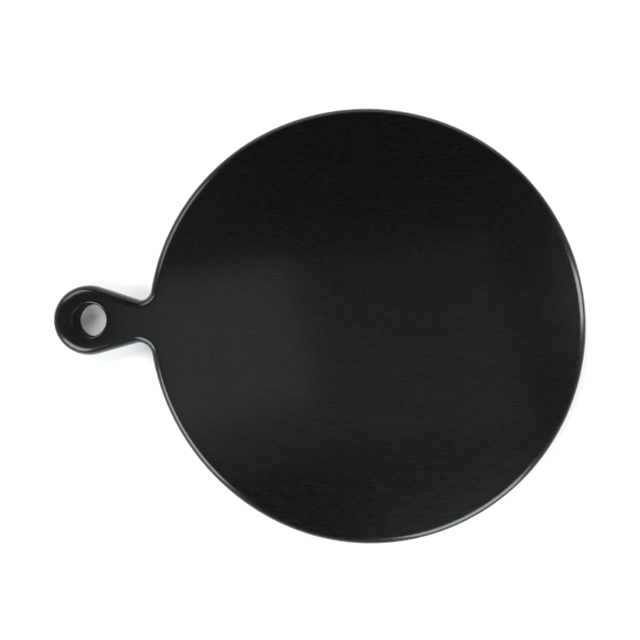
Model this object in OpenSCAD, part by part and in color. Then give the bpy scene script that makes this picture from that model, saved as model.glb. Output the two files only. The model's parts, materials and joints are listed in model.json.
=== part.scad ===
// Round serving board with a short paddle handle and a hole to hang it by.
//
// The board is a panel of five wooden staves, dowelled and glued edge to edge, and cut to a disc. The
// middle stave runs on past the rim and is worked down to the handle. Every outer edge is rounded over,
// above and below.
//
// Frame: X runs along the grain, with the handle towards -X. Y runs across the staves, from the front
// of the board to its back. Z is up. The origin lies on the resting face, in the middle of the disc.

/* [Disc] */
// Thickness of the board
board_t = 25; // [20:0.5:32]
// Radius of the disc
disc_r = 255; // [240:1:275]
// Radius of the disc's rounded edge
disc_edge_r = 6.5; // [3:0.5:7]

/* [Handle] */
// From the origin to the centre of the handle's round end
grip_x = 327; // [315:1:345]
// Radius of the handle's round end
grip_r = 41; // [38:0.5:44]
// Radius of the rounded edge there
grip_edge_r = 8.5; // [8:0.5:9.5]
// Angle between each side of the handle and the grain
taper = 17; // [14:0.5:19]
// Radius of the hollow where the handle's back side meets the rim
back_hollow_r = 12; // [9:0.5:20]
// Radius of the hollow where the handle's front side meets the rim
front_hollow_r = 16; // [9:0.5:20]

/* [Hanging hole] */
// From the origin to the centre of the hole
hole_x = 323.5; // [322:0.5:330]
// Radius of the hole
hole_r = 19; // [12:0.5:20]
// Radius of the hole's rounded edge
hole_edge_r = 3; // [1:0.5:4]

/* [Glue joints] */
// Width of the three inner staves
stave_w = 111; // [100:1:116]
// Diameter of a dowel
dowel_d = 8; // [6:1:10]
// Length of a dowel
dowel_l = 40; // [30:1:44]
// Distance between dowels in one joint
dowel_pitch = 120; // [90:5:125]
// Gap for glue around a dowel
glue_gap = 0.05; // [0.02:0.01:0.1]
// Space for glue at each end of a dowel
glue_well = 1; // [0.5:0.5:2]

/* [Hidden] */
$fn = 144;

grip_centre = [-grip_x, 0];
// The rounded edge grows from the disc, past the hollows and the sides, to the handle's end.
hollow_edge_r = disc_edge_r + (grip_edge_r - disc_edge_r) / 3;
side_edge_r = disc_edge_r + (grip_edge_r - disc_edge_r) * 2 / 3;
// The rounded edge of the handle's sides and hollows is a strip this wide.
strip = 16;
// The handle's core fills the space between those strips, and overlaps them from this depth on.
core_depth = 12;
// Where a side or a hollow of the handle runs into the next surface, it ends this far below that
// surface, so that the two cross.
sink = 0.25;
overlap = 2;

// The stave that carries the handle
handle_stave = 2;

// How many dowels hold each joint, from the front to the back
dowel_counts = [3, 4, 4, 3];
joints = len(dowel_counts);
joint_y = [for (i = [0 : joints - 1]) (i - (joints - 1) / 2) * stave_w];
dowel_chamfer = 1;
flutes = 8;
flute_r = 0.45;

reach = 2 * disc_r;
margin = 1;

// ---- Where the handle's hollows lie ----
// Both are worked out as at the back. The front of the handle is drawn mirrored.

function direction(a) = [cos(a), sin(a)];
function angle_of(v) = atan2(v[1], v[0]);

// Across the side of the handle, outwards, and along it, towards the disc
across = direction(90 - taper);
along = direction(-taper);
side_r = grip_r - sink;

// The centre of the hollow of radius r between the side and the rim
function hollow_centre(r) =
    let (
        start = grip_centre + (side_r - sink + r) * across,
        b = start * along,
        c = start * start - (disc_r - sink + r) ^ 2
    )
    start - (b + sqrt(b * b - c)) * along;

// The corners of the core along one side, from the round end, past the hollow, into the disc
function core_side(r) =
    let (
        centre = hollow_centre(r),
        from = 270 - taper,
        to = angle_of(centre) + 180
    )
    [
        grip_centre + (grip_r - core_depth) * across,
        for (share = [0 : 0.5 : 1]) centre + (r + core_depth) * direction(from + share * (to - from))
    ];

// ---- The rounded edge ----

module quarter_disc(r) {
    intersection() {
        circle(r);
        square(r);
    }
}

// A strip of the board's section from 0 to w, with its rounded edge at w
module edge_section(w, r) {
    square([w - r, board_t]);
    translate([w - r, r]) square([r, board_t - 2 * r]);
    translate([w - r, board_t - r]) quarter_disc(r);
    translate([w - r, r]) mirror([0, 1]) quarter_disc(r);
}

module rounded_disc(r, edge_r) {
    rotate_extrude() edge_section(r, edge_r);
}

// ---- The handle ----

module hollow(r) {
    centre = hollow_centre(r);
    to = angle_of(centre);
    translate(centre) rotate_extrude(angle = to - 90 + taper, start = 90 - taper)
        translate([-r - strip, 0]) edge_section(strip, hollow_edge_r);
}

module side(r) {
    length = (hollow_centre(r) - grip_centre) * along + r / 3;
    translate(grip_centre) rotate([0, 0, 90 - taper]) translate([side_r - strip, overlap, 0])
        rotate([90, 0, 0]) linear_extrude(length + overlap) edge_section(strip, side_edge_r);
}

module handle_core() {
    back = core_side(back_hollow_r);
    front = core_side(front_hollow_r);
    linear_extrude(board_t)
        polygon([for (p = back) p, for (i = [len(front) - 1 : -1 : 0]) [front[i][0], -front[i][1]]]);
}

module handle() {
    translate(grip_centre) rounded_disc(grip_r, grip_edge_r);
    hollow(back_hollow_r);
    side(back_hollow_r);
    mirror([0, 1, 0]) {
        hollow(front_hollow_r);
        side(front_hollow_r);
    }
    handle_core();
}

// A hole cut wide, and the lip with rounded edges that brings it to size
module wide_hole() {
    translate([-hole_x, 0, -margin]) cylinder(r = hole_r + hole_edge_r + margin, h = board_t + 2 * margin);
}

module hole_lip() {
    w = 2 * hole_edge_r + margin;
    translate([-hole_x, 0, 0]) rotate_extrude() translate([-hole_r - w, 0]) edge_section(w, hole_edge_r);
}

// ---- Dowels and their holes ----

module at_dowels(joint) {
    count = dowel_counts[joint];
    for (i = [0 : count - 1])
        translate([(i - (count - 1) / 2) * dowel_pitch, joint_y[joint], board_t / 2])
            rotate([90, 0, 0]) children();
}

module dowel() {
    r = dowel_d / 2;
    h = dowel_l / 2;
    c = dowel_chamfer;
    difference() {
        rotate_extrude() polygon([[0, -h], [r - c, -h], [r, c - h], [r, h - c], [r - c, h], [0, h]]);
        for (i = [0 : flutes - 1]) rotate([0, 0, i * 360 / flutes])
            translate([r, 0, -h - margin]) cylinder(r = flute_r, h = dowel_l + 2 * margin, $fn = 24);
    }
}

module dowel_hole() {
    cylinder(d = dowel_d + 2 * glue_gap, h = dowel_l + 2 * glue_well, center = true);
}

// ---- The nodes ----

// The part of the disc between joint i - 1 and joint i, where the outer two staves end at the rim
module stave_of_disc(i) {
    from = i == 0 ? -reach : joint_y[i - 1];
    to = i == joints ? reach : joint_y[i];
    intersection() {
        rounded_disc(disc_r, disc_edge_r);
        translate([-reach, from, -margin]) cube([2 * reach, to - from, board_t + 2 * margin]);
    }
}

module stave(i) {
    color("#1d1c1b") {
        difference() {
            union() {
                stave_of_disc(i);
                if (i == handle_stave) handle();
            }
            for (joint = [max(i - 1, 0) : min(i, joints - 1)]) at_dowels(joint) dowel_hole();
            if (i == handle_stave) wide_hole();
        }
        if (i == handle_stave) hole_lip();
    }
}

module dowels(joint) {
    color("burlywood") at_dowels(joint) dowel();
}

for (i = [0 : joints]) stave(i);
for (i = [0 : joints - 1]) dowels(i);
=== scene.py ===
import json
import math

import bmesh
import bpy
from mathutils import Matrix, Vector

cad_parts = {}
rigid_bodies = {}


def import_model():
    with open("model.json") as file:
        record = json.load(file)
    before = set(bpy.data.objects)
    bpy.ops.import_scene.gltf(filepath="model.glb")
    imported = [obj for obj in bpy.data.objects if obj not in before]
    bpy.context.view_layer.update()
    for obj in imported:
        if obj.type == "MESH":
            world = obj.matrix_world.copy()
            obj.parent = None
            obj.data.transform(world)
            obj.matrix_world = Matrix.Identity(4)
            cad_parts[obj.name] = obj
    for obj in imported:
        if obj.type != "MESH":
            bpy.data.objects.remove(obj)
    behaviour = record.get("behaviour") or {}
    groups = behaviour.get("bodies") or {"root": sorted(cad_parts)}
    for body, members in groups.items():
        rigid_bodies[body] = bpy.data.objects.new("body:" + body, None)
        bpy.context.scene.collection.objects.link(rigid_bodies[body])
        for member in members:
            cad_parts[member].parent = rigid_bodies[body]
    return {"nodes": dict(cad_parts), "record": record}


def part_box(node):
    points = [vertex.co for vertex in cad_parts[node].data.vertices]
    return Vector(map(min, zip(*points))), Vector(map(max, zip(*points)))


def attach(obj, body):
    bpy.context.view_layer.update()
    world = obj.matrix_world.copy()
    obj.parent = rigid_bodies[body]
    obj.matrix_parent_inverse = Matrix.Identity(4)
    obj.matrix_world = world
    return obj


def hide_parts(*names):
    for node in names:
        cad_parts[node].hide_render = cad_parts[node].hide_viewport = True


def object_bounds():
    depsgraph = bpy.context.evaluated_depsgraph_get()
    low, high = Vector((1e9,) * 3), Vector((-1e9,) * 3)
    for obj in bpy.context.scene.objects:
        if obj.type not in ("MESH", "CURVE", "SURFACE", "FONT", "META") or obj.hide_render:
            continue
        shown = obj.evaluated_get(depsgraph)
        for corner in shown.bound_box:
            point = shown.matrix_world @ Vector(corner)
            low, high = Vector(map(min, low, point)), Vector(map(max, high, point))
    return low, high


bl_info = {
    "name": "Round serving board",
    "version": (1, 0, 0),
    "blender": (4, 5, 0),
    "location": "3D View > Sidebar > Board",
    "description": "Makes a round black serving board from five glued staves, with a handle to hang it by",
    "category": "Add Mesh",
}

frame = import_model()
CAD_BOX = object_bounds()

# From the front of the board to its back
STAVES = ["front_outer_stave", "front_inner_stave", "handle_stave", "back_inner_stave", "back_outer_stave"]
# The dowels between each stave and the next
DOWELS = ["front_outer_dowels", "front_inner_dowels", "back_inner_dowels", "back_outer_dowels"]

HOLE = next(mount for mount in frame["record"]["mounts"] if mount["name"] == "hanging_hole")
HOLE_RADIUS = HOLE["dims"]["r_mm"] / 1000
HOLE_CENTRE = Vector((*HOLE["pos_m"][:2], 0))
THICKNESS = CAD_BOX[1].z
UP = Vector((0, 0, 1))
# Two points nearer than this are one point.
NEAR = 1e-5
# How far a cutter reaches past what it cuts, above and below together
CLEAR = 0.01
# A face whose normal has at least this share along an axis lies square to that axis.
SQUARE = 0.9999
# Sides of the hanging hole, and steps round each rounded edge
HOLE_SIDES = 96
EDGE_STEPS = 14
# A ring of faces this wide lies round each flat face, so that the shading of the edge stays off it.
FLAT_RING = 0.0012
# The floor lies this far under the board, so that the two flat faces don't coincide.
FLOOR_GAP = 0.0003


# ---- Sizes and colours ----

class BoardShape(bpy.types.PropertyGroup):
    """The outline of the board and its rounded edges."""

    rim_radii: bpy.props.FloatVectorProperty(
        name="Rim radii",
        description="Radii of the hand-cut rim's six arcs, each a sixth of a turn, from the handle's front",
        size=6,
        default=(0.270, 0.249, 0.255, 0.254, 0.260, 0.250),
        unit="LENGTH",
    )
    rim_start: bpy.props.FloatVectorProperty(
        name="First centre",
        description="Centre of the rim's first arc",
        size=2,
        default=(0.0135, 0.013),
        unit="LENGTH",
    )
    grip_radius: bpy.props.FloatProperty(
        name="Handle end", description="Radius of the handle's round end", default=0.041, unit="LENGTH"
    )
    taper: bpy.props.FloatProperty(
        name="Handle taper",
        description="Angle between each side of the handle and the grain",
        default=math.radians(17),
        subtype="ANGLE",
    )
    back_hollow: bpy.props.FloatProperty(
        name="Back hollow",
        description="Radius between the handle's back side and the rim",
        default=0.012,
        unit="LENGTH",
    )
    front_hollow: bpy.props.FloatProperty(
        name="Front hollow",
        description="Radius between the handle's front side and the rim",
        default=0.016,
        unit="LENGTH",
    )
    rim_edge: bpy.props.FloatProperty(
        name="Rim edge", description="Reach of the rounded edge of the disc", default=0.011, unit="LENGTH"
    )
    grip_edge: bpy.props.FloatProperty(
        name="Handle edge",
        description="Reach of the rounded edge of the handle",
        default=0.012,
        unit="LENGTH",
    )
    hole_edge: bpy.props.FloatProperty(
        name="Hole edge", description="Reach of the rounded edge of the hole", default=0.0035, unit="LENGTH"
    )
    shoulder: bpy.props.FloatProperty(
        name="Shoulder",
        description="Shape of the rounded edges: a quarter circle at 0.5, and fuller above it",
        default=0.6,
        subtype="FACTOR",
    )
    hand_work: bpy.props.FloatProperty(
        name="Hand work",
        description="How much the width of the rounded rim varies, as a share of it",
        default=0.07,
        subtype="FACTOR",
    )
    joint_ease: bpy.props.FloatProperty(
        name="Joint ease",
        description="Width of the sanded edge along each glue joint",
        default=0.00012,
        unit="LENGTH",
    )
    glue_gap: bpy.props.FloatProperty(
        name="Glue gap", description="Gap for glue around a dowel", default=0.00005, unit="LENGTH"
    )
    glue_well: bpy.props.FloatProperty(
        name="Glue well", description="Space for glue at each end of a dowel", default=0.001, unit="LENGTH"
    )
    dowel_pitch: bpy.props.FloatProperty(
        name="Dowel pitch", description="Distance between dowels in one joint", default=0.120, unit="LENGTH"
    )


class BoardFinish(bpy.types.PropertyGroup):
    """The black finish and the bare wood of the dowels."""

    black: bpy.props.FloatVectorProperty(
        name="Black",
        description="Colour of the stained wood",
        size=3,
        default=(0.0018, 0.0019, 0.0021),
        subtype="COLOR",
    )
    worn: bpy.props.FloatVectorProperty(
        name="Worn",
        description="Colour where the stain is thin, on ridges of the grain and along edges",
        size=3,
        default=(0.0085, 0.0080, 0.0078),
        subtype="COLOR",
    )
    sheen: bpy.props.FloatProperty(
        name="Roughness", description="Roughness of the satin finish", default=0.31, subtype="FACTOR"
    )
    grain_length: bpy.props.FloatProperty(
        name="Grain length", description="Length of a streak of the grain", default=0.014, unit="LENGTH"
    )
    grain_width: bpy.props.FloatProperty(
        name="Grain width", description="Width of a streak of the grain", default=0.0009, unit="LENGTH"
    )
    grain_depth: bpy.props.FloatProperty(
        name="Grain depth", description="Depth of the grain in the finish", default=0.00015, unit="LENGTH"
    )
    beech: bpy.props.FloatVectorProperty(
        name="Beech",
        description="Colour of the dowels",
        size=3,
        default=(0.52, 0.34, 0.19),
        subtype="COLOR",
    )


class BoardStudio(bpy.types.PropertyGroup):
    """The camera, the floor and the light."""

    camera_height: bpy.props.FloatProperty(
        name="Camera height", description="Height of the camera over the floor", default=0.7125, unit="LENGTH"
    )
    camera_centre: bpy.props.FloatVectorProperty(
        name="Camera centre",
        description="The point that the camera looks straight down at",
        size=2,
        default=(-0.0563, 0.0061),
        unit="LENGTH",
    )
    camera_turn: bpy.props.FloatProperty(
        name="Camera turn",
        description="Turn of the camera about the vertical",
        default=math.radians(1.288),
        subtype="ANGLE",
    )
    frame_width: bpy.props.FloatProperty(
        name="Frame width",
        description="Width of floor that the camera takes in",
        default=0.768,
        unit="LENGTH",
    )
    floor_size: bpy.props.FloatProperty(
        name="Floor size", description="Width of the floor", default=12.0, unit="LENGTH"
    )
    floor_colour: bpy.props.FloatVectorProperty(
        name="Floor", description="Colour of the floor", size=3, default=(0.92, 0.92, 0.93), subtype="COLOR"
    )
    wall_light: bpy.props.FloatProperty(
        name="Wall light", description="Strength of the light from the walls", default=0.50
    )
    ceiling_light: bpy.props.FloatProperty(
        name="Ceiling light", description="Strength of the light from the ceiling", default=0.03
    )
    lamp_power: bpy.props.FloatProperty(
        name="Lamp power", description="Power of the softboxes, as a share of their own", default=1.0
    )


# ---- Work on a mesh ----

def let_go():
    """Nothing is selected, so that an operator acts only on what is picked next."""
    for thing in bpy.context.view_layer.objects:
        thing.select_set(False)


def pick(piece):
    let_go()
    piece.select_set(True)
    bpy.context.view_layer.objects.active = piece


def open_mesh(piece):
    pick(piece)
    bpy.ops.object.mode_set(mode="EDIT")


def close_mesh():
    bpy.ops.object.mode_set(mode="OBJECT")


def select(piece, kind, wanted):
    """In edit mode, selects the faces or the edges that wanted() says yes to."""
    bpy.ops.mesh.select_mode(type=kind)
    bpy.ops.mesh.select_all(action="DESELECT")
    mesh = bmesh.from_edit_mesh(piece.data)
    count = 0
    for part in mesh.faces if kind == "FACE" else mesh.edges:
        if wanted(part):
            part.select_set(True)
            count += 1
    bmesh.update_edit_mesh(piece.data)
    if not count:
        raise RuntimeError(f"nothing to select on {piece.name}")


def copy_of(piece, name):
    made = piece.copy()
    made.data = piece.data.copy()
    made.name = made.data.name = name
    bpy.context.scene.collection.objects.link(made)
    return made


def drill(piece, cutter):
    """Takes the cutter's shape out of the piece."""
    pick(piece)
    cut = piece.modifiers.new("drill", "BOOLEAN")
    cut.operation = "DIFFERENCE"
    cut.solver = "EXACT"
    cut.object = cutter
    bpy.ops.object.modifier_apply(modifier=cut.name)
    bpy.data.objects.remove(cutter)


# ---- The outline of the board ----

def direction(angle):
    return Vector((math.cos(angle), math.sin(angle), 0))


def angle_of(vector):
    return math.atan2(vector.y, vector.x)


def arc_begins(i):
    """The angle at which arc i of the rim begins, counted anticlockwise from the handle."""
    return (i - 3) * math.pi / 3


def arcs_of_rim(shape):
    """The rim's six arcs as (centre, radius), each tangent to the next, anticlockwise from the handle."""
    centre = Vector((*shape.rim_start, 0))
    arcs = []
    for i, radius in enumerate(shape.rim_radii):
        if arcs:
            centre = centre + (arcs[-1][1] - radius) * direction(arc_begins(i))
        arcs.append((centre, radius))
    return arcs


def hollow_centre(radius, side, along, grip, arc):
    """The centre of the hollow that touches an arc of the rim and the handle side that starts at grip."""
    centre, rim_radius = arc
    start = side * radius + grip - centre
    towards = start.dot(along)
    apart = start.length_squared - (rim_radius + radius) ** 2
    return centre + start - along * (towards + math.sqrt(towards ** 2 - apart))


def grip_centre(shape):
    """The centre of the handle's round end."""
    return Vector((CAD_BOX[0].x + shape.grip_radius, 0, 0))


def turn_about(centre, radius, angle):
    """Sweeps the last point anticlockwise round a centre, in steps short enough to look round."""
    flatness = 0.00002
    steps = math.ceil(abs(angle) / math.sqrt(8 * flatness / radius))
    bpy.ops.mesh.spin(steps=steps, angle=angle, center=centre, axis=-UP)


def go_straight(way):
    """Draws a straight line from the last point."""
    steps = 6
    for _ in range(steps):
        bpy.ops.mesh.extrude_region_move(TRANSFORM_OT_translate={"value": way / steps})


def trace_outline(shape):
    """Draws the outline anticlockwise: round the rim, the back hollow, the handle and the front hollow."""
    arcs = arcs_of_rim(shape)
    back, front = direction(math.pi / 2 - shape.taper), direction(shape.taper - math.pi / 2)
    back_along, front_along = direction(-shape.taper), direction(shape.taper)
    grip = grip_centre(shape)
    back_grip, front_grip = grip + shape.grip_radius * back, grip + shape.grip_radius * front
    back_centre = hollow_centre(shape.back_hollow, back, back_along, back_grip, arcs[-1])
    front_centre = hollow_centre(shape.front_hollow, front, front_along, front_grip, arcs[0])
    first = angle_of(front_centre - arcs[0][0])
    last = angle_of(back_centre - arcs[-1][0])

    start = arcs[0][0] + arcs[0][1] * direction(first)
    bpy.ops.mesh.primitive_plane_add(size=CLEAR, location=start, enter_editmode=True)
    bpy.ops.mesh.merge(type="CENTER")
    bpy.ops.mesh.select_mode(type="VERT")
    bpy.ops.mesh.select_all(action="SELECT")
    for i, (centre, radius) in enumerate(arcs):
        begins = first if i == 0 else arc_begins(i)
        ends = last if i == len(arcs) - 1 else arc_begins(i + 1)
        turn_about(centre, radius, ends - begins)
    turn_about(back_centre, shape.back_hollow, -(last - angle_of(back)))
    go_straight(back_grip - back_centre + shape.back_hollow * back)
    turn_about(grip, shape.grip_radius, math.pi + 2 * shape.taper)
    go_straight(front_centre - shape.front_hollow * front - front_grip)
    turn_about(front_centre, shape.front_hollow, -(angle_of(front) - first))
    bpy.ops.mesh.select_all(action="SELECT")
    bpy.ops.mesh.remove_doubles(threshold=NEAR)


# ---- The board in one piece ----

def edge_radius(shape, place):
    """The rounded edge is wider on the handle than on the rim, and a little uneven, as sanded by hand."""
    share = (place.x - grip_centre(shape).x) / shape.grip_radius - 1
    share = min(max(share, 0), 1)
    blend = share * share * (3 - 2 * share)
    angle = angle_of(place)
    uneven = 0.6 * math.sin(3 * angle + 1) + 0.4 * math.sin(5 * angle)
    rim = shape.rim_edge * (1 + shape.hand_work * uneven)
    return shape.grip_edge + (rim - shape.grip_edge) * blend


def weigh_edges(blank, shape):
    """Gives each sharp edge round the two flat faces the share of the bevel that it takes."""
    weights = blank.data.attributes.new("bevel_weight_edge", "FLOAT", "EDGE")
    corners = blank.data.vertices
    hole_reach = HOLE_RADIUS + NEAR
    for edge in blank.data.edges:
        one, two = (corners[i].co for i in edge.vertices)
        middle = (one + two) / 2
        if abs(one.z - two.z) > NEAR or not edge.use_edge_sharp:
            continue
        flat = Vector((middle.x, middle.y, 0))
        if (flat - HOLE_CENTRE).length < hole_reach:
            radius = shape.hole_edge
        else:
            radius = edge_radius(shape, flat)
        weights.data[edge.index].value = radius / shape.grip_edge


class BOARD_OT_blank(bpy.types.Operator):
    """Shape the whole board: outline, thickness, hanging hole and rounded edges"""

    bl_idname = "board.blank"
    bl_label = "Shape the board"

    def execute(self, context):
        shape = context.scene.board_shape
        let_go()
        trace_outline(shape)
        blank = context.object
        blank.name = "blank"
        bpy.ops.mesh.edge_face_add()
        bpy.ops.mesh.extrude_region_move(TRANSFORM_OT_translate={"value": UP * THICKNESS})
        bpy.ops.mesh.select_all(action="SELECT")
        bpy.ops.mesh.normals_make_consistent(inside=False)
        close_mesh()
        bpy.ops.object.transform_apply(location=True, rotation=True, scale=True)

        let_go()
        bpy.ops.mesh.primitive_cylinder_add(
            vertices=HOLE_SIDES,
            radius=HOLE_RADIUS,
            depth=THICKNESS + CLEAR,
            location=HOLE_CENTRE + UP * THICKNESS / 2,
        )
        drill(blank, context.object)

        open_mesh(blank)
        select(blank, "EDGE", lambda edge: edge.calc_face_angle(0) > 1)
        bpy.ops.mesh.mark_sharp()
        close_mesh()
        weigh_edges(blank, shape)
        pick(blank)
        rounding = blank.modifiers.new("rounding", "BEVEL")
        rounding.limit_method = "WEIGHT"
        rounding.width = shape.grip_edge
        rounding.segments = EDGE_STEPS
        rounding.profile = shape.shoulder
        rounding.use_clamp_overlap = False
        bpy.ops.object.modifier_apply(modifier=rounding.name)

        open_mesh(blank)
        bpy.ops.mesh.select_all(action="SELECT")
        bpy.ops.mesh.mark_sharp(clear=True)
        select(blank, "FACE", lambda face: abs(face.normal.z) > SQUARE)
        bpy.ops.mesh.inset(thickness=FLAT_RING, use_even_offset=True)
        close_mesh()
        return {"FINISHED"}


# ---- The staves ----

def joint_planes():
    """Where the board is sawn along the grain, from front to back, with its ends."""
    return [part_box(name)[0].y for name in STAVES] + [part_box(STAVES[-1])[1].y]


def saw(piece, y, keep_back, ease):
    """Cuts the piece along the grain at y, closes the cut and eases the edges of its new face."""
    open_mesh(piece)
    bpy.ops.mesh.select_all(action="SELECT")
    bpy.ops.mesh.bisect(
        plane_co=(0, y, 0),
        plane_no=(0, 1, 0),
        use_fill=True,
        clear_inner=keep_back,
        clear_outer=not keep_back,
    )

    def on_cut(face):
        return abs(face.normal.y) > SQUARE and abs(face.calc_center_median().y - y) < NEAR

    select(piece, "FACE", on_cut)
    bpy.ops.mesh.region_to_loop()
    bpy.ops.mesh.bevel(offset=ease, segments=1, affect="EDGES", clamp_overlap=False)
    close_mesh()


def dowel_drill(name, shape):
    """The space that one joint's dowels and their glue take up, as one cutter."""
    low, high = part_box(name)
    radius = (high.z - low.z) / 2
    spread = high.x - low.x - 2 * radius
    count = round(spread / shape.dowel_pitch) + 1
    let_go()
    bpy.ops.mesh.primitive_cylinder_add(
        vertices=40,
        radius=radius + shape.glue_gap,
        depth=high.y - low.y + 2 * shape.glue_well,
        location=(low.x + radius, (low.y + high.y) / 2, (low.z + high.z) / 2),
        rotation=(math.pi / 2, 0, 0),
        enter_editmode=True,
    )
    first = bpy.context.object
    select(first, "FACE", lambda face: len(face.verts) > 4)
    bpy.ops.mesh.inset(thickness=radius * 0.6, depth=shape.glue_well / 2)
    close_mesh()
    bpy.ops.object.transform_apply(location=True, rotation=True, scale=True)
    row = [first]
    for i in range(1, count):
        drill_bit = copy_of(first, f"{name}_bit_{i}")
        drill_bit.data.transform(Matrix.Translation((i * shape.dowel_pitch, 0, 0)))
        row.append(drill_bit)
    for bit in row:
        bit.select_set(True)
    bpy.context.view_layer.objects.active = first
    bpy.ops.object.join()
    return first


class BOARD_OT_staves(bpy.types.Operator):
    """Saw the board into its five staves, drill them for the dowels and finish them black"""

    bl_idname = "board.staves"
    bl_label = "Saw the staves"

    def execute(self, context):
        shape = context.scene.board_shape
        blank = bpy.data.objects["blank"]
        planes = joint_planes()
        last = len(STAVES) - 1
        for i, name in enumerate(STAVES):
            stave = copy_of(blank, f"black_{name}")
            if i > 0:
                saw(stave, planes[i], True, shape.joint_ease)
                drill(stave, dowel_drill(DOWELS[i - 1], shape))
            if i < last:
                saw(stave, planes[i + 1], False, shape.joint_ease)
                drill(stave, dowel_drill(DOWELS[i], shape))
            pick(stave)
            bpy.ops.object.shade_smooth_by_angle(angle=math.radians(30))
            stave.data.materials.clear()
            stave.data.materials.append(black_wood(f"black_wood_{i + 1}", i, context.scene.board_finish))
            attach(stave, "root")
            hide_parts(name)
        bpy.data.objects.remove(blank)
        return {"FINISHED"}


class BOARD_OT_dowels(bpy.types.Operator):
    """Give the dowels inside the joints their bare beech"""

    bl_idname = "board.dowels"
    bl_label = "Finish the dowels"

    def execute(self, context):
        wood = bare_beech(context.scene.board_finish)
        for name in DOWELS:
            dowels = frame["nodes"][name]
            for slot in dowels.material_slots:
                slot.material = wood
        return {"FINISHED"}


# ---- Node trees ----

def add(tree, kind, inputs=None, **settings):
    """A node with its settings, and its inputs either linked or set."""
    made = tree.nodes.new(kind)
    for name, value in settings.items():
        setattr(made, name, value)
    for name, value in (inputs or {}).items():
        if isinstance(value, bpy.types.NodeSocket):
            tree.links.new(value, made.inputs[name])
        else:
            made.inputs[name].default_value = value
    return made


def maths(tree, operation, *values):
    made = add(tree, "ShaderNodeMath", dict(enumerate(values)), operation=operation)
    return made.outputs[0]


def vector_maths(tree, operation, *values):
    made = add(tree, "ShaderNodeVectorMath", dict(enumerate(values)), operation=operation)
    return made.outputs[0]


def noise(tree, vector, scale, detail=2.0, roughness=0.5):
    settings = {"Vector": vector, "Scale": scale, "Detail": detail, "Roughness": roughness}
    return add(tree, "ShaderNodeTexNoise", settings).outputs["Fac"]


def ramp(tree, value, low, high, to_low=0.0, to_high=1.0):
    """A value as it goes from low to high, brought to the span from to_low to to_high."""
    settings = {
        "Value": value, "From Min": low, "From Max": high, "To Min": to_low, "To Max": to_high,
    }
    made = add(tree, "ShaderNodeMapRange", settings, interpolation_type="SMOOTHSTEP")
    return made.outputs["Result"]


def mix(tree, share, one, two):
    made = add(tree, "ShaderNodeMix", data_type="RGBA")
    for socket, value in (("Factor_Float", share), ("A_Color", one), ("B_Color", two)):
        target = next(s for s in made.inputs if s.identifier == socket)
        if isinstance(value, bpy.types.NodeSocket):
            tree.links.new(value, target)
        else:
            target.default_value = value
    return next(s for s in made.outputs if s.identifier == "Result_Color")


def new_group(name, inputs, outputs):
    """An empty node group with these named sockets: (name, kind, default) in, (name, kind) out."""
    group = bpy.data.node_groups.new(name, "ShaderNodeTree")
    for label, kind, default in inputs:
        socket = group.interface.new_socket(label, in_out="INPUT", socket_type=kind)
        if default is not None:
            socket.default_value = default
    for label, kind in outputs:
        group.interface.new_socket(label, in_out="OUTPUT", socket_type=kind)
    return group, group.nodes.new("NodeGroupInput").outputs, group.nodes.new("NodeGroupOutput")


def grain_group():
    """Wood grain along X: slow bands, fine streaks and short open pores."""
    name = "wood grain"
    if name in bpy.data.node_groups:
        return bpy.data.node_groups[name]
    group, given, result = new_group(
        name,
        [
            ("Place", "NodeSocketVector", None),
            ("Length", "NodeSocketFloat", 0.09),
            ("Width", "NodeSocketFloat", 0.0016),
            ("Wander", "NodeSocketFloat", 0.004),
        ],
        [("Bands", "NodeSocketFloat"), ("Streaks", "NodeSocketFloat"), ("Pores", "NodeSocketFloat"),
         ("Height", "NodeSocketFloat")],
    )
    # The grain wanders to and fro across its own direction.
    sway = maths(group, "SUBTRACT", noise(group, given["Place"], 4.0, 1.0), 0.5)
    shift = add(group, "ShaderNodeCombineXYZ", {"Y": maths(group, "MULTIPLY", sway, given["Wander"])})
    place = vector_maths(group, "ADD", given["Place"], shift.outputs[0])

    def stretched(length, width):
        across = maths(group, "DIVIDE", 1.0, maths(group, "MULTIPLY", given["Width"], width))
        lengthwise = maths(group, "DIVIDE", 1.0, maths(group, "MULTIPLY", given["Length"], length))
        scales = add(group, "ShaderNodeCombineXYZ", {"X": lengthwise, "Y": across, "Z": across})
        return vector_maths(group, "MULTIPLY", place, scales.outputs[0])

    bands = noise(group, stretched(14.0, 16.0), 1.0, 2.0)
    streaks = noise(group, stretched(1.0, 1.0), 1.0, 4.0, 0.6)
    pores = ramp(group, noise(group, stretched(0.25, 0.4), 1.0, 2.0, 0.6), 0.58, 0.70)
    height = maths(group, "SUBTRACT", streaks, maths(group, "MULTIPLY", pores, 0.6))
    for label, value in (("Bands", bands), ("Streaks", streaks), ("Pores", pores), ("Height", height)):
        group.links.new(value, result.inputs[label])
    return group


def worn_edge_group():
    """Where hands and cloths rub a rounded edge: strongest halfway round the edge, and patchy."""
    name = "worn edge"
    if name in bpy.data.node_groups:
        return bpy.data.node_groups[name]
    group, given, result = new_group(
        name,
        [("Place", "NodeSocketVector", None), ("Amount", "NodeSocketFloat", 1.0)],
        [("Mask", "NodeSocketFloat")],
    )
    normal = add(group, "ShaderNodeNewGeometry").outputs["Normal"]
    upright = add(group, "ShaderNodeSeparateXYZ", {"Vector": normal}).outputs["Z"]
    slope = maths(group, "ABSOLUTE", upright)
    edge = maths(group, "MULTIPLY", ramp(group, slope, 0.15, 0.6), ramp(group, slope, 0.995, 0.8))
    patches = ramp(group, noise(group, given["Place"], 38.0, 5.0, 0.65), 0.42, 0.68)
    mask = maths(group, "MULTIPLY", maths(group, "MULTIPLY", edge, patches), given["Amount"])
    group.links.new(mask, result.inputs["Mask"])
    return group


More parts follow.
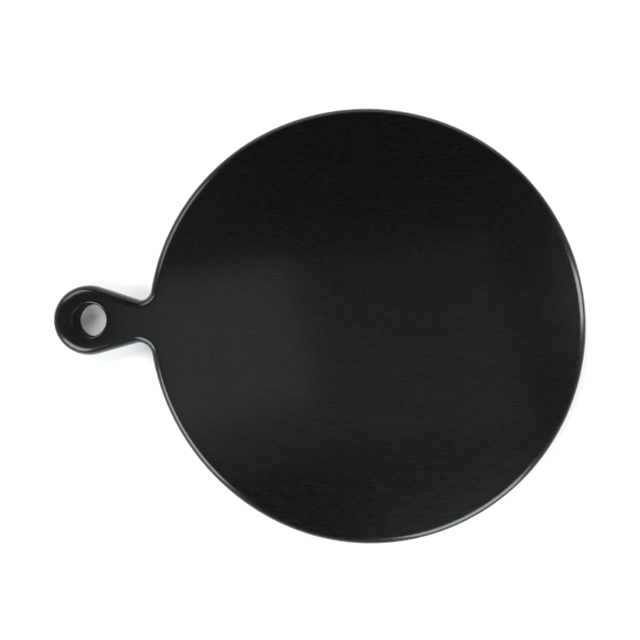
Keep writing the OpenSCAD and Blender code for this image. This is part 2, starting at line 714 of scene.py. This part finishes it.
def handling_group():
    """Smears left by wiping, and fine dust."""
    name = "handling"
    if name in bpy.data.node_groups:
        return bpy.data.node_groups[name]
    group, given, result = new_group(
        name,
        [("Place", "NodeSocketVector", None)],
        [("Smears", "NodeSocketFloat"), ("Dust", "NodeSocketFloat")],
    )
    smears = noise(group, given["Place"], 9.0, 4.0, 0.55)
    dust = ramp(group, noise(group, given["Place"], 900.0, 1.0), 0.74, 0.82)
    group.links.new(smears, result.inputs["Smears"])
    group.links.new(dust, result.inputs["Dust"])
    return group


def use_group(tree, group, inputs):
    return add(tree, "ShaderNodeGroup", inputs, node_tree=group).outputs


def new_material(name):
    """A material with nothing but a Principled shader, and the place of each point on the piece."""
    made = bpy.data.materials.new(name)
    made.use_nodes = True
    tree = made.node_tree
    tree.nodes.clear()
    shader = add(tree, "ShaderNodeBsdfPrincipled")
    surface = add(tree, "ShaderNodeOutputMaterial")
    tree.links.new(shader.outputs["BSDF"], surface.inputs["Surface"])
    place = add(tree, "ShaderNodeTexCoord").outputs["Object"]
    return made, tree, shader, place


# ---- Finishes ----

def inside_hole(tree, place):
    """A mask of the wall of the hanging hole, which a cloth with finish can't reach well."""
    flat = vector_maths(tree, "MULTIPLY", vector_maths(tree, "SUBTRACT", place, HOLE_CENTRE), (1, 1, 0))
    away = add(tree, "ShaderNodeVectorMath", {0: flat}, operation="LENGTH").outputs["Value"]
    return ramp(tree, away, HOLE_RADIUS + 0.002, HOLE_RADIUS + 0.0005)


def black_wood(name, stave, finish):
    """Black-stained wood under a satin finish. Each stave has its own stretch of grain."""
    made, tree, shader, place = new_material(name)
    plank_shift = (1.7 * stave, 0.31 * stave, 0.43 * stave)
    plank = add(tree, "ShaderNodeMapping", {"Vector": place, "Location": plank_shift}).outputs[0]
    grain = use_group(tree, grain_group(), {
        "Place": plank, "Length": finish.grain_length, "Width": finish.grain_width,
    })
    wear = use_group(tree, worn_edge_group(), {"Place": plank, "Amount": 0.5})
    handling = use_group(tree, handling_group(), {"Place": place})

    black, worn = (*finish.black, 1), (*finish.worn, 1)
    thin_stain = ramp(tree, grain["Streaks"], 0.45, 0.70, 0.0, 0.5)
    thin_stain = maths(tree, "ADD", thin_stain, ramp(tree, grain["Bands"], 0.35, 0.75, 0.0, 0.08))
    stained = mix(tree, thin_stain, black, worn)
    rubbed = mix(tree, wear["Mask"], stained, worn)
    dusty = mix(tree, maths(tree, "MULTIPLY", handling["Dust"], 0.10), rubbed, (0.25, 0.25, 0.25, 1))
    tree.links.new(dusty, shader.inputs["Base Color"])

    satin = ramp(tree, handling["Smears"], 0.3, 0.7, finish.sheen - 0.03, finish.sheen + 0.03)
    satin = maths(tree, "ADD", satin, maths(tree, "MULTIPLY", grain["Pores"], 0.12))
    satin = maths(tree, "SUBTRACT", satin, maths(tree, "MULTIPLY", wear["Mask"], 0.06))
    hole = inside_hole(tree, place)
    satin = maths(tree, "ADD", satin, maths(tree, "MULTIPLY", hole, 0.35))
    tree.links.new(satin, shader.inputs["Roughness"])
    shader.inputs["Specular IOR Level"].default_value = 0.12
    tree.links.new(ramp(tree, hole, 0.0, 1.0, 0.9, 0.1), shader.inputs["Coat Weight"])
    shader.inputs["Coat Roughness"].default_value = 0.15

    relief = add(tree, "ShaderNodeBump", {
        "Height": grain["Height"], "Strength": 1.0, "Distance": finish.grain_depth,
    })
    tree.links.new(relief.outputs["Normal"], shader.inputs["Normal"])
    return made


def bare_beech(finish):
    """Pale beech, turned across the board, with short dark flecks."""
    made, tree, shader, place = new_material("bare_beech")
    turned = add(tree, "ShaderNodeMapping", {"Vector": place, "Rotation": (0, 0, math.pi / 2)}).outputs[0]
    grain = use_group(tree, grain_group(), {"Place": turned, "Length": 0.02, "Width": 0.0006})
    pale = (*finish.beech, 1)
    dark = (*(0.6 * channel for channel in finish.beech), 1)
    bands = mix(tree, ramp(tree, grain["Streaks"], 0.35, 0.7, 0.0, 0.6), pale, dark)
    flecked = mix(tree, maths(tree, "MULTIPLY", grain["Pores"], 0.7), bands, dark)
    tree.links.new(flecked, shader.inputs["Base Color"])
    tree.links.new(ramp(tree, grain["Streaks"], 0.3, 0.7, 0.55, 0.7), shader.inputs["Roughness"])
    relief = add(tree, "ShaderNodeBump", {"Height": grain["Height"], "Strength": 1.0, "Distance": 0.00003})
    tree.links.new(relief.outputs["Normal"], shader.inputs["Normal"])
    return made


def matt_paper(colour):
    """The pale floor, very slightly uneven."""
    made, tree, shader, place = new_material("pale_floor")
    pale = (*colour, 1)
    darker = (*(0.985 * channel for channel in colour), 1)
    tree.links.new(mix(tree, noise(tree, place, 60.0, 3.0), pale, darker), shader.inputs["Base Color"])
    shader.inputs["Roughness"].default_value = 0.9
    shader.inputs["Specular IOR Level"].default_value = 0.2
    shader.inputs["Emission Color"].default_value = pale
    shader.inputs["Emission Strength"].default_value = 0.06
    return made


# ---- The stage ----

# Lamps round the board: name, direction from the middle of the board anticlockwise from +X, tilt off the
# vertical, width, height and distance in metres, power in watts, and colour
LAMPS = [
    ("right_strip", 8, 52, 0.30, 0.80, 1.6, 8.0, (1.0, 0.95, 0.88)),
    ("back_left_softbox", 151, 50, 0.60, 0.60, 1.6, 5.0, (1.0, 0.97, 0.90)),
    ("front_left_softbox", 215, 52, 0.80, 0.70, 1.6, 13.0, (0.93, 0.97, 1.0)),
    ("front_right_softbox", 303, 54, 0.80, 0.80, 1.6, 16.0, (0.90, 0.96, 1.0)),
    ("back_panel", 85, 66, 2.40, 0.80, 1.9, 4.5, (1.0, 1.0, 1.0)),
    ("ceiling_panel", 280, 4, 1.60, 0.90, 2.0, 0.82, (0.94, 0.97, 1.0)),
    ("left_ceiling_panel", 194, 15, 0.70, 0.80, 2.1, 0.60, (0.94, 0.97, 1.0)),
]
# One more lamp lights only the floor, and the board casts its shadow in it.
FLOOR_LAMP = ("floor_lamp", 115, 52, 1.20, 1.20, 1.7, 22.0, (1.0, 1.0, 1.0))


def lamp(share, name, around, tilt, width, height, distance, power, colour):
    """A soft rectangular lamp that faces the middle of the board, at a share of its power."""
    around, tilt = math.radians(around), math.radians(tilt)
    towards = direction(around) * math.sin(tilt) + UP * math.cos(tilt)
    light = bpy.data.lights.new(name, "AREA")
    light.shape = "RECTANGLE"
    light.size, light.size_y = width, height
    light.energy = power * share
    light.color = colour
    holder = bpy.data.objects.new(name, light)
    bpy.context.scene.collection.objects.link(holder)
    holder.location = towards * distance
    holder.rotation_euler = towards.to_track_quat("Z", "Y").to_euler()
    return holder


def pale_room(studio):
    """Pale walls all round under a dark ceiling."""
    world = bpy.data.worlds.new("pale_room")
    world.use_nodes = True
    tree = world.node_tree
    facing = add(tree, "ShaderNodeTexCoord").outputs["Generated"]
    height = add(tree, "ShaderNodeSeparateXYZ", {"Vector": facing}).outputs["Z"]
    background = tree.nodes["Background"]
    background.inputs["Color"].default_value = (0.96, 0.98, 1.0, 1)
    brightness = ramp(tree, height, 0.80, 0.40, studio.ceiling_light, studio.wall_light)
    tree.links.new(brightness, background.inputs["Strength"])
    return world


class BOARD_OT_stage(bpy.types.Operator):
    """Set up the camera over the board, the pale floor and the soft light"""

    bl_idname = "board.stage"
    bl_label = "Set the stage"

    def execute(self, context):
        scene, studio = context.scene, context.scene.board_studio
        lens = bpy.data.cameras.new("overhead_camera")
        lens.sensor_width = 36
        lens.lens = lens.sensor_width * studio.camera_height / studio.frame_width
        camera = bpy.data.objects.new("overhead_camera", lens)
        scene.collection.objects.link(camera)
        camera.location = (*studio.camera_centre, studio.camera_height)
        camera.rotation_euler = (0, 0, studio.camera_turn)
        scene.camera = camera
        scene.view_settings.view_transform = "Standard"

        scene.world = pale_room(studio)

        let_go()
        bpy.ops.mesh.primitive_plane_add(size=studio.floor_size, location=-FLOOR_GAP * UP)
        floor = context.object
        floor.name = "floor"
        floor.data.materials.append(matt_paper(studio.floor_colour))

        for values in LAMPS:
            lamp(studio.lamp_power, *values)
        lit = bpy.data.collections.new("lit_by_floor_lamp")
        lit.objects.link(floor)
        lamp(studio.lamp_power, *FLOOR_LAMP).light_linking.receiver_collection = lit
        return {"FINISHED"}


class BOARD_PT_panel(bpy.types.Panel):
    """Lists the steps of making the board"""

    bl_label = "Serving board"
    bl_space_type = "VIEW_3D"
    bl_region_type = "UI"
    bl_category = "Board"

    def draw(self, context):
        for step in STEPS:
            self.layout.operator(step.bl_idname)


STEPS = [BOARD_OT_stage, BOARD_OT_blank, BOARD_OT_staves, BOARD_OT_dowels]
SETTINGS = {"board_shape": BoardShape, "board_finish": BoardFinish, "board_studio": BoardStudio}
CLASSES = [*SETTINGS.values(), *STEPS, BOARD_PT_panel]


def register():
    for made in CLASSES:
        bpy.utils.register_class(made)
    for name, group in SETTINGS.items():
        setattr(bpy.types.Scene, name, bpy.props.PointerProperty(type=group))


def unregister():
    for name in SETTINGS:
        delattr(bpy.types.Scene, name)
    for made in reversed(CLASSES):
        bpy.utils.unregister_class(made)


def main():
    register()
    bpy.ops.board.stage()
    bpy.ops.board.blank()
    bpy.ops.board.staves()
    bpy.ops.board.dowels()


if __name__ == "__main__":
    main()
